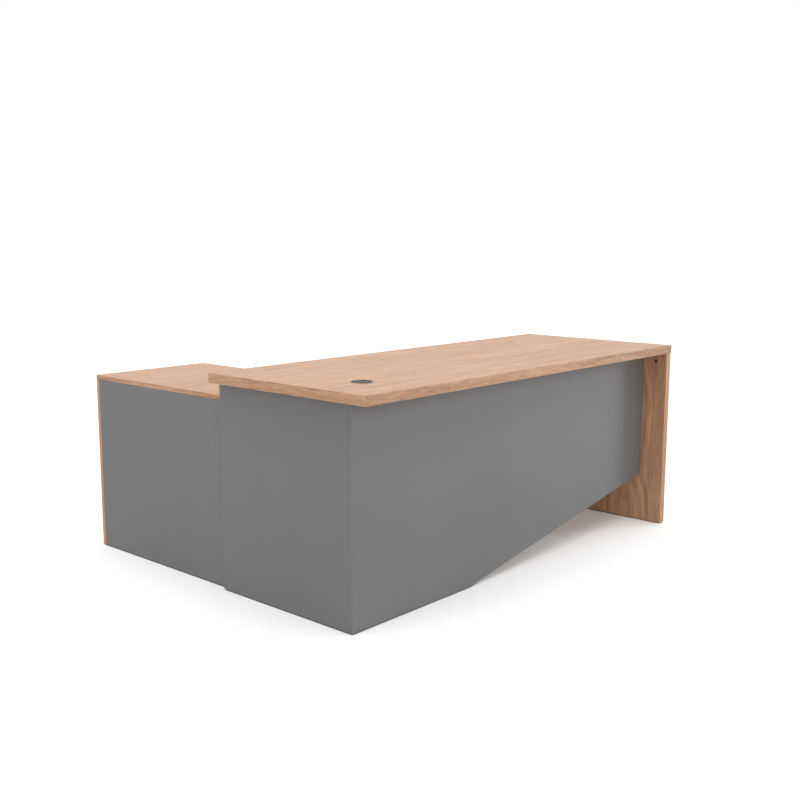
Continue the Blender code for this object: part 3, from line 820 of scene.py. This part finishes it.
class DESK_OT_desktop(bpy.types.Operator):
    """Make the desktop with its grommet hole"""

    bl_idname = "office_desk.desktop"
    bl_label = "Desktop"

    def execute(self, context):
        sizes = context.scene.desk_fittings
        fit = context.scene.desk_boards.fit
        desktop = start_board("desktop")
        board_low, board_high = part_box("desktop")
        liner_low, liner_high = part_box("grommet_liner")
        low = Vector((liner_low.x, liner_low.y, board_low.z - fit))
        high = Vector((liner_high.x, liner_high.y, board_high.z + fit))
        cut_core(desktop, add_rod("hole", low, high, 2, sizes.grommet_bore, sizes.grommet_steps))
        for fitting in DESK_OT_cams.facings:
            bore(desktop, fitting + "_bolt")
        settle(desktop, "desktop")
        return {"FINISHED"}


class DESK_OT_modesty_panel(bpy.types.Operator):
    """Make the visitor's side panel, with its slanting lower edge"""

    bl_idname = "office_desk.modesty_panel"
    bl_label = "Modesty panel"

    def execute(self, context):
        sizes = context.scene.desk_boards
        low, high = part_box("modesty_panel")
        panel = plain_board("modesty_panel")
        kink = Vector((low.x + sizes.foot_length, low.y, low.z))
        slant = Vector((high.x, low.y, low.z + sizes.slant_rise)) - kink
        edit(panel)
        pick_all()
        across = Vector((slant.z, 0.0, -slant.x)).normalized()
        bpy.ops.mesh.bisect(plane_co=kink, plane_no=across, use_fill=True, clear_outer=True)
        outward_normals()
        band_board(panel, "modesty_panel")
        bore_for_cams(panel, "modesty_left", "modesty_right")
        settle(panel, "modesty_panel")
        return {"FINISHED"}


class DESK_OT_desk_panels(bpy.types.Operator):
    """Make the left side panel and the right leg panel"""

    bl_idname = "office_desk.desk_panels"
    bl_label = "Desk panels"

    def execute(self, context):
        settle(start_board("left_side_panel"), "left_side_panel")
        leg = start_board("right_leg_panel")
        bore_for_cams(leg, "leg_front", "leg_rear")
        settle(leg, "right_leg_panel")
        return {"FINISHED"}


class DESK_OT_return_carcass(bpy.types.Operator):
    """Make the return's fixed boards, bored for pins, pivots and the lock"""

    bl_idname = "office_desk.return_carcass"
    bl_label = "Return carcass"

    pins = {
        "return_inner_panel": (1, 2),
        "bay_partition": (3, 4),
        "cupboard_partition": (5, 6),
        "return_end_panel": (7, 8),
    }
    pivots = {"return_top": "door_pivot_top", "return_floor": "door_pivot_bottom"}
    plain = ("return_back_panel", "return_plinth")

    def execute(self, context):
        sizes = context.scene.desk_boards
        for node in (*self.pins, *self.pivots, *self.plain):
            board = start_board(node)
            for number in self.pins.get(node, ()):
                bore_pin_row(board, f"shelf_pin_{number}")
            if node in self.pivots:
                bore(board, self.pivots[node], sizes.pivot_bore)
            if node == "cupboard_partition":
                low, high = OPENING_OF["lock_slot"]
                cut_core(board, add_block("lock slot", low, high + Y_AXIS * sizes.fit))
            settle(board, node)
        return {"FINISHED"}


class DESK_OT_shelves(bpy.types.Operator):
    """Make the two adjustable shelves"""

    bl_idname = "office_desk.shelves"
    bl_label = "Shelves"

    def execute(self, context):
        for node in ("bay_shelf", "cupboard_shelf"):
            settle(start_board(node), node)
        return {"FINISHED"}


class DESK_OT_fronts(bpy.types.Operator):
    """Make the drawer fronts and the cupboard door"""

    bl_idname = "office_desk.fronts"
    bl_label = "Drawer fronts and door"

    def execute(self, context):
        sizes = context.scene.desk_boards
        for number in DRAWERS:
            node = f"drawer_front_{number}"
            settle(start_board(node), node)
        door = start_board("cupboard_door")
        for pivot in DESK_OT_return_carcass.pivots.values():
            bore(door, pivot, sizes.pivot_bore)
        bore(door, "lock_barrel", sizes.lock_bore)
        settle(door, "cupboard_door")
        return {"FINISHED"}


class DESK_OT_cams(bpy.types.Operator):
    """Make the cam housings and finish their bolts"""

    bl_idname = "office_desk.cams"
    bl_label = "Cams and bolts"

    facings = {
        "leg_front": -X_AXIS, "leg_rear": -X_AXIS,
        "modesty_left": Y_AXIS, "modesty_right": Y_AXIS,
    }

    def execute(self, context):
        low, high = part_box("modesty_left_cam")
        radius = (high.x - low.x) / 2
        length = high.y - low.y
        profile = (
            (radius, -length), (radius, -0.0004), (radius - 0.0004, 0.0),
            (radius - 0.0013, 0.0), (radius - 0.0016, -0.0007), (0.0030, -0.0007))
        pattern = turn_up("cam", profile, context.scene.desk_fittings.steps)
        self.cut_recess(pattern, Z_AXIS * -0.0006)
        repeat(pattern, "_housing", {
            name + "_cam": (middle_of(name + "_cam") + facing * length / 2, facing)
            for name, facing in self.facings.items()})
        refinish(name + "_bolt" for name in self.facings)
        return {"FINISHED"}

    def cut_recess(self, cam, top):
        """Cuts a cross recess, narrower at its bottom, into a cam on +Z."""
        for along, across in ((RECESS_REACH, RECESS_WIDTH), (RECESS_WIDTH, RECESS_REACH)):
            half = Vector((along, across, RECESS_DEPTH))
            arm = add_block("recess", top - half, top + half)
            edit(arm)
            pick(arm, "faces", lambda face: face.normal.z < -0.5)
            scale_about(top - Z_AXIS * RECESS_DEPTH, (RECESS_TAPER, RECESS_TAPER, 1.0))
            done()
            combine(cam, arm)


class DESK_OT_glides(bpy.types.Operator):
    """Make the six floor glides"""

    bl_idname = "office_desk.glides"
    bl_label = "Glides"

    def execute(self, context):
        low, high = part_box("glide_1")
        radius = (high.x - low.x) / 2
        height = high.z - low.z
        profile = (
            (radius - 0.0005, height), (radius, height - 0.0004), (radius, 0.0012),
            (radius - 0.0004, 0.0005), (radius - 0.0014, 0.0001), (radius - 0.0026, 0.0))
        pattern = turn_up("glide", profile, context.scene.desk_fittings.steps)
        nodes = [f"glide_{number}" for number in GLIDES]
        repeat(pattern, "_moulding", {
            node: (middle_of(node) - Z_AXIS * height / 2, Z_AXIS) for node in nodes})
        return {"FINISHED"}


class DESK_OT_grommet(bpy.types.Operator):
    """Make the grommet's liner and its cap with the cable slot"""

    bl_idname = "office_desk.grommet"
    bl_label = "Cable grommet"

    def execute(self, context):
        sizes = context.scene.desk_fittings
        fit = context.scene.desk_boards.fit
        low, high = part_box("grommet_liner")
        cap_low, cap_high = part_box("grommet_cap")
        middle = Vector(((low.x + high.x) / 2, (low.y + high.y) / 2, high.z))
        flange = (high.x - low.x) / 2
        tube = sizes.grommet_bore - fit
        seat = tube - sizes.liner_wall
        mouth = seat - sizes.ledge
        ledge = cap_low.z - high.z - fit
        foot = low.z - high.z
        profile = (
            (flange - 0.0013, 0.0), (flange - 0.0006, -0.0002), (flange - 0.0002, -0.0006),
            (flange, -0.0011), (flange, -sizes.flange), (tube, -sizes.flange), (tube, foot),
            (mouth, foot), (mouth, ledge), (seat, ledge), (seat, -0.0006), (seat + 0.0005, 0.0))
        liner = turn_up("grommet_liner_moulding", profile, sizes.grommet_steps, ring=True)
        set_at(liner, middle, Z_AXIS)
        settle(liner, "grommet_liner")
        rim = (cap_high.x - cap_low.x) / 2
        thick = cap_high.z - cap_low.z
        profile = (
            (rim - 0.0005, -thick), (rim, -thick + 0.0004), (rim, -0.0006), (rim - 0.0005, 0.0),
            (rim - 0.0032, 0.0), (rim - 0.0037, -0.0005), (0.004, -0.0005))
        cap = turn_up("grommet_cap_moulding", profile, sizes.grommet_steps)
        reach = rim - sizes.slot_depth + sizes.slot_radius
        way = Vector((math.cos(sizes.slot_direction), math.sin(sizes.slot_direction), 0.0))
        half = Vector((sizes.slot_radius, sizes.slot_radius, thick * 2))
        combine(cap, add_rod(
            "slot", way * reach - half, way * reach + half, 2, sizes.slot_radius,
            sizes.grommet_steps))
        set_at(cap, middle + Z_AXIS * (cap_high.z - high.z), Z_AXIS)
        settle(cap, "grommet_cap")
        return {"FINISHED"}


class DESK_OT_shelf_pins(bpy.types.Operator):
    """Make the shelves' pins"""

    bl_idname = "office_desk.shelf_pins"
    bl_label = "Shelf pins"

    def execute(self, context):
        sizes = context.scene.desk_boards
        low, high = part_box("shelf_pin_1")
        head = (high.x - low.x) / 2
        length = high.y - low.y
        spigot = sizes.pin_bore - sizes.fit
        profile = (
            (spigot - 0.0006, 0.0), (spigot, 0.0008), (spigot, length / 2),
            (head - 0.0003, length / 2), (head, length / 2 + 0.0003), (head, length - 0.0008),
            (head - 0.0003, length - 0.0003), (head - 0.0009, length))
        pattern = turn_up("shelf pin", profile, context.scene.desk_fittings.steps)
        places = {}
        for number in SHELF_PINS:
            node = f"shelf_pin_{number}"
            facing = -Y_AXIS if number in FAR_SHELF_PINS else Y_AXIS
            places[node] = middle_of(node) - facing * length / 2, facing
        repeat(pattern, "_turning", places)
        return {"FINISHED"}


class DESK_OT_runners(bpy.types.Operator):
    """Make the drawer runners, bent from sheet and slotted for their screws"""

    bl_idname = "office_desk.runners"
    bl_label = "Drawer runners"

    def execute(self, context):
        sizes = context.scene.desk_fittings
        for side, opening in (("near", 1.0), ("far", -1.0)):
            low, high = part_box(f"runner_{side}_1")
            web = low.y if opening > 0.0 else high.y
            runner = add_block("runner " + side, low, high)
            edit(runner)
            pick(runner, "faces", lambda face: (
                abs(face.normal.x) > 0.5 or face.normal.y * opening > 0.5))
            bpy.ops.mesh.delete(type="FACE")
            pick(runner, "edges", lambda edge: edge_span(edge, 0) > 0.1 and all(
                abs(vert.co.y - web) < TOUCH for vert in edge.verts))
            round_off(sizes.bend, 4)
            done()
            thicken(runner, sizes.channel)
            self.slot(runner, low, high)
            repeat(runner, "_channel", stack(f"runner_{side}_"))
        return {"FINISHED"}

    def slot(self, runner, low, high):
        """Cuts the screw slots through a runner's web, all in one cut."""
        middle = (low + high) / 2
        half = Vector((RUNNER_SLOT_LENGTH / 2, high.y - low.y, RUNNER_SLOT_WIDTH / 2))
        slots = []
        for share in RUNNER_SLOTS:
            centre = Vector((low.x + (high.x - low.x) * share, middle.y, middle.z))
            slot = add_block("runner slot", centre - half, centre + half)
            edit(slot)
            pick(slot, "edges", lambda edge: edge_span(edge, 1) > 0.005)
            round_off(RUNNER_SLOT_ROUND, 6)
            done()
            slots.append(slot)
        work_on(slots[0])
        for slot in slots:
            slot.select_set(True)
        bpy.ops.object.join()
        combine(runner, slots[0])


class DESK_OT_trays(bpy.types.Operator):
    """Make the drawer trays, folded from sheet with a hemmed rim and a lip on each side"""

    bl_idname = "office_desk.trays"
    bl_label = "Drawer trays"

    def execute(self, context):
        sizes = context.scene.desk_fittings
        low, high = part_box("drawer_tray_1")
        reach = Y_AXIS * sizes.lip_width
        tray = add_block("tray", low + reach, high - reach)
        self.fold(tray, low + reach, high - reach, sizes)
        level = low.z + sizes.lip_height
        for edge, side in ((low.y, -1.0), (high.y, 1.0)):
            inner = edge - side * (sizes.lip_width + sizes.sheet / 2)
            combine(tray, add_block(
                "lip", Vector((low.x, min(edge, inner), level)),
                Vector((high.x, max(edge, inner), level + sizes.channel))), "UNION")
        repeat(tray, "_sheet", stack("drawer_tray_"))
        return {"FINISHED"}

    def fold(self, tray, low, high, sizes):
        """Opens a block into a tray, presses its floor, hems its rim and thickens it."""
        extent = high - low
        edit(tray)
        pick(tray, "faces", lambda face: face.normal.z > 0.5)
        bpy.ops.mesh.delete(type="ONLY_FACE")
        pick(tray, "edges", lambda edge: not edge.is_boundary)
        round_off(sizes.bend, 3)
        pick(tray, "faces", lambda face: face.normal.z < -0.999)
        bpy.ops.mesh.inset(thickness=TRAY_BORDER)
        bpy.ops.mesh.inset(thickness=TRAY_SLOPE, depth=-TRAY_PRESS)
        pick(tray, "edges", lambda edge: edge.is_boundary)
        extrude((0.0, 0.0, 0.0))
        ratios = [(extent[axis] - 2 * sizes.hem) / extent[axis] for axis in (0, 1)]
        scale_about((low + high) / 2, (*ratios, 1.0))
        extrude((0.0, 0.0, -HEM_DROP))
        pick(tray, "edges", lambda edge: edge.calc_face_angle(0.0) > 1.0 and all(
            abs(vert.co.z - high.z) < TOUCH for vert in edge.verts))
        round_off(HEM_ROUND, 3)
        done()
        thicken(tray, sizes.sheet)


class DESK_OT_handles(bpy.types.Operator):
    """Make the bow handles of bent bar"""

    bl_idname = "office_desk.handles"
    bl_label = "Handles"

    def execute(self, context):
        pattern = self.bow(context.scene.desk_fittings, *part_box("drawer_handle_1"))
        for node in [f"drawer_handle_{number}" for number in DRAWERS] + ["door_handle"]:
            middle = middle_of(node)
            handle = copy_of(pattern, node + "_bar")
            if node == "door_handle":
                handle.rotation_euler = (QUARTER_TURN, 0.0, 0.0)
            handle.location = (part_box(node)[0].x, middle.y, middle.z)
            apply_place(handle)
            settle(handle, node)
        bpy.data.meshes.remove(pattern.data)
        return {"FINISHED"}

    def bow(self, sizes, low, high):
        """A bar as large as a box, from a front, along Y and back to the front."""
        radius = (high.z - low.z) / 2
        half = (high.y - low.y) / 2 - radius
        bend = sizes.handle_bend
        straight = high.x - low.x - radius - bend
        clear_selection()
        bpy.ops.mesh.primitive_circle_add(
            vertices=sizes.steps, radius=radius - HANDLE_EASE, location=(0.0, -half, 0.0),
            rotation=(0.0, QUARTER_TURN, 0.0))
        bar = added("handle")
        edit(bar)
        pick_all()
        ease = radius / (radius - HANDLE_EASE)
        extrude((HANDLE_EASE, 0.0, 0.0))
        scale_about((0.0, -half, 0.0), (1.0, ease, ease))
        extrude((straight - HANDLE_EASE, 0.0, 0.0))
        self.turn(sizes, (straight, -half + bend, 0.0))
        extrude((0.0, 2 * (half - bend), 0.0))
        self.turn(sizes, (straight, half - bend, 0.0))
        extrude((HANDLE_EASE - straight, 0.0, 0.0))
        extrude((-HANDLE_EASE, 0.0, 0.0))
        scale_about((0.0, half, 0.0), (1.0, 1 / ease, 1 / ease))
        fill_ends()
        outward_normals()
        done()
        return bar

    def turn(self, sizes, centre):
        """A quarter turn of the bar."""
        bpy.ops.mesh.spin(
            steps=sizes.bend_steps, angle=QUARTER_TURN, center=centre, axis=(0.0, 0.0, -1.0))


class DESK_OT_lock(bpy.types.Operator):
    """Make the lock's barrel, plug, cam and nut, and finish the door's pivots"""

    bl_idname = "office_desk.lock"
    bl_label = "Lock and pivots"

    def execute(self, context):
        fit = context.scene.desk_boards.fit
        low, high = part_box("lock_barrel")
        plug_low, plug_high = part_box("lock_plug")
        middle = (low + high) / 2
        flange = (high.y - low.y) / 2
        body = context.scene.desk_boards.lock_bore - fit
        inside = (plug_high.y - plug_low.y) / 2 + fit
        rear = low.x - high.x
        profile = (
            (inside + 0.0006, 0.0), (flange - 0.0012, 0.0), (flange - 0.0002, -0.0007),
            (flange, -0.0012), (flange, -0.002), (body, -0.002), (body, rear + 0.0006),
            (body - 0.0006, rear), (inside, rear), (inside, -0.0006))
        barrel = turn_up("lock_barrel_turning", profile, LOCK_STEPS, ring=True)
        set_at(barrel, Vector((high.x, middle.y, middle.z)), X_AXIS)
        settle(barrel, "lock_barrel")
        plug = inside - fit
        end = plug_low.x - plug_high.x
        profile = (
            (LOCK_TAIL - 0.0004, end), (LOCK_TAIL, end + 0.0004), (LOCK_TAIL, rear), (plug, rear),
            (plug, -0.0009), (plug - 0.0005, -0.0004), (plug - 0.0012, -0.0004))
        core = turn_up("lock_plug_turning", profile, LOCK_STEPS)
        combine(core, add_block("keyway", -KEYWAY_HALF, KEYWAY_HALF))
        set_at(core, Vector((plug_high.x, middle.y, middle.z)), X_AXIS)
        settle(core, "lock_plug")
        cam_low, cam_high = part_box("lock_cam")
        steps = context.scene.desk_fittings.steps
        self.cam(cam_low, cam_high, middle, LOCK_TAIL + fit, steps)
        self.nut(cam_low, middle, LOCK_TAIL + fit, steps)
        refinish(DESK_OT_return_carcass.pivots.values())
        return {"FINISHED"}

    def cam(self, low, high, middle, hole, steps):
        """The plate that turns into the partition's slot, round at both ends."""
        plate = add_block("lock_cam_plate", low, high)
        edit(plate)
        pick(plate, "edges", lambda edge: edge_span(edge, 0) > 0.001)
        round_off((high.y - low.y) / 2 - 0.0005, 8)
        done()
        ease_edges(plate, 0.0003)
        overrun = X_AXIS * 0.001
        rod_low = Vector((low.x, middle.y - hole, middle.z - hole)) - overrun
        rod_high = Vector((high.x, middle.y + hole, middle.z + hole)) + overrun
        combine(plate, add_rod("hole", rod_low, rod_high, 0, hole, steps))
        settle(plate, "lock_cam")

    def nut(self, cam_low, middle, hole, steps):
        """The nut that holds the cam on the plug."""
        clear_selection()
        bpy.ops.mesh.primitive_cylinder_add(vertices=6, radius=NUT_RADIUS, depth=NUT_THICKNESS)
        nut = added("lock_nut")
        ease_edges(nut, 0.0004)
        half = Vector((hole, hole, 0.002))
        combine(nut, add_rod("hole", -half, half, 2, hole - 0.0001, steps))
        set_at(nut, Vector((cam_low.x - NUT_THICKNESS / 2, middle.y, middle.z)), X_AXIS)
        nut.data.materials.append(fitting_finish("lock_cam"))
        smooth(nut)
        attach(nut, BODY_OF["lock_cam"])


class DESK_OT_stage(bpy.types.Operator):
    """Make the floor, the light and the camera"""

    bl_idname = "office_desk.stage"
    bl_label = "Stage"

    def execute(self, context):
        stage = context.scene.desk_stage
        self.lay_floor(stage)
        self.light(context, stage)
        self.set_camera(context, stage)
        context.scene.view_settings.view_transform = "Standard"
        return {"FINISHED"}

    def lay_floor(self, stage):
        """A wide pale floor that the camera sees as white where nothing shades it.

        In the narrow gaps under the boards an ambient occlusion mask darkens its colour and its
        lift: painted shade.
        """
        clear_selection()
        bpy.ops.mesh.primitive_plane_add(size=FLOOR_SIZE, location=(0.0, 0.0, 0.0))
        floor = added("floor")
        finish = Finish("Studio floor", Roughness=1.0, Specular_IOR_Level=0.0)
        # Painted shade: the floor's colour and its lift go dark where boards stand close above it.
        gap_occlusion = finish.add("AmbientOcclusion", {"Distance": FLOOR_PAINTED_SHADE_REACH}).outputs["AO"]
        clear = finish.span(gap_occlusion, 0.12, 0.50)
        finish.colour(finish.mix(clear, (0.0, 0.0, 0.0), stage.floor_colour))
        seen = finish.add("LightPath", {}).outputs["Is Camera Ray"]
        lift = finish.times(finish.times(seen, stage.floor_lift), clear)
        paler_floor = finish.add("BsdfDiffuse", {"Color": lift})
        both = finish.add(
            "AddShader", {0: finish.shader.outputs["BSDF"], 1: paler_floor.outputs["BSDF"]})
        finish.feed(finish.tree.nodes["Material Output"].inputs["Surface"], both.outputs["Shader"])
        floor.data.materials.append(finish.material)

    def light(self, context, stage):
        """An even white room with a soft lamp overhead and low ones at the right and the left."""
        room = bpy.data.worlds.new("White room")
        context.scene.world = room
        room.use_nodes = True
        tree = room.node_tree
        paths = tree.nodes.new("ShaderNodeLightPath")
        seen = paths.outputs["Is Camera Ray"]
        for name in ("Is Glossy Ray", "Is Transmission Ray"):
            either = tree.nodes.new("ShaderNodeMath")
            either.operation = "MAXIMUM"
            tree.links.new(seen, either.inputs[0])
            tree.links.new(paths.outputs[name], either.inputs[1])
            seen = either.outputs["Value"]
        strength = tree.nodes.new("ShaderNodeMapRange")
        tree.links.new(seen, strength.inputs["Value"])
        strength.inputs["To Min"].default_value = stage.ambient
        background = tree.nodes["Background"]
        background.inputs["Color"].default_value = (1.0, 1.0, 1.0, 1.0)
        tree.links.new(strength.outputs["Result"], background.inputs["Strength"])
        self.hang_lamp("Top lamp", TOP_LAMP_PLACE, stage.top_lamp, stage.top_spread)
        self.hang_lamp("Side lamp", SIDE_LAMP_PLACE, stage.side_lamp, stage.side_spread)
        self.hang_lamp("Fill lamp", FILL_LAMP_PLACE, stage.fill_lamp, stage.fill_spread)

    def hang_lamp(self, name, place, strength, spread):
        """A soft lamp that shines from a place to the desk's middle."""
        turn = Z_AXIS.rotation_difference(place).to_euler()
        clear_selection()
        bpy.ops.object.light_add(type="SUN", location=place, rotation=turn)
        lamp = bpy.context.object
        lamp.name = name
        lamp.data.energy = strength
        lamp.data.angle = spread

    def set_camera(self, context, stage):
        """The photograph's view."""
        flat = math.cos(stage.pitch)
        ahead = Vector((
            flat * math.cos(stage.yaw), flat * math.sin(stage.yaw), -math.sin(stage.pitch)))
        level = Vector((math.sin(stage.yaw), -math.cos(stage.yaw), 0.0))
        upright = level.cross(ahead)
        right = level * math.cos(stage.roll) + upright * math.sin(stage.roll)
        up = upright * math.cos(stage.roll) - level * math.sin(stage.roll)
        clear_selection()
        bpy.ops.object.camera_add()
        camera = bpy.context.object
        camera.name = "Camera"
        turn = Matrix((right, up, -ahead)).transposed().to_4x4()
        camera.matrix_world = Matrix.Translation(stage.place) @ turn
        camera.data.sensor_width = SENSOR_WIDTH
        camera.data.lens = stage.lens
        camera.data.clip_end = VIEW_LIMIT
        context.scene.camera = camera


PIECES = (
    DESK_OT_desktop, DESK_OT_modesty_panel, DESK_OT_desk_panels, DESK_OT_return_carcass,
    DESK_OT_shelves, DESK_OT_fronts, DESK_OT_cams, DESK_OT_glides, DESK_OT_grommet,
    DESK_OT_shelf_pins, DESK_OT_runners, DESK_OT_trays, DESK_OT_handles, DESK_OT_lock,
    DESK_OT_stage,
)


class DESK_PT_make(bpy.types.Panel):
    """The desk's pieces, in the order in which they are made"""

    bl_idname = "DESK_PT_make"
    bl_label = "Office desk"
    bl_space_type = "VIEW_3D"
    bl_region_type = "UI"
    bl_category = "Desk"

    def draw(self, context):
        for piece in PIECES:
            self.layout.operator(piece.bl_idname)


SETTINGS = {
    "desk_boards": BoardSizes,
    "desk_fittings": FittingSizes,
    "desk_finishes": FinishColours,
    "desk_stage": StageSettings,
}


def register():
    """Registers the settings, the operators and the panel."""
    for name, group in SETTINGS.items():
        bpy.utils.register_class(group)
        setattr(bpy.types.Scene, name, PointerProperty(type=group))
    for piece in PIECES:
        bpy.utils.register_class(piece)
    bpy.utils.register_class(DESK_PT_make)


def unregister():
    """Takes back what register did."""
    bpy.utils.unregister_class(DESK_PT_make)
    for piece in reversed(PIECES):
        bpy.utils.unregister_class(piece)
    for name, group in SETTINGS.items():
        delattr(bpy.types.Scene, name)
        bpy.utils.unregister_class(group)


def main():
    """Makes the whole desk and its stage."""
    register()
    bpy.ops.office_desk.desktop()
    bpy.ops.office_desk.modesty_panel()
    bpy.ops.office_desk.desk_panels()
    bpy.ops.office_desk.return_carcass()
    bpy.ops.office_desk.shelves()
    bpy.ops.office_desk.fronts()
    bpy.ops.office_desk.cams()
    bpy.ops.office_desk.glides()
    bpy.ops.office_desk.grommet()
    bpy.ops.office_desk.shelf_pins()
    bpy.ops.office_desk.runners()
    bpy.ops.office_desk.trays()
    bpy.ops.office_desk.handles()
    bpy.ops.office_desk.lock()
    bpy.ops.office_desk.stage()


if __name__ == "__main__":
    main()
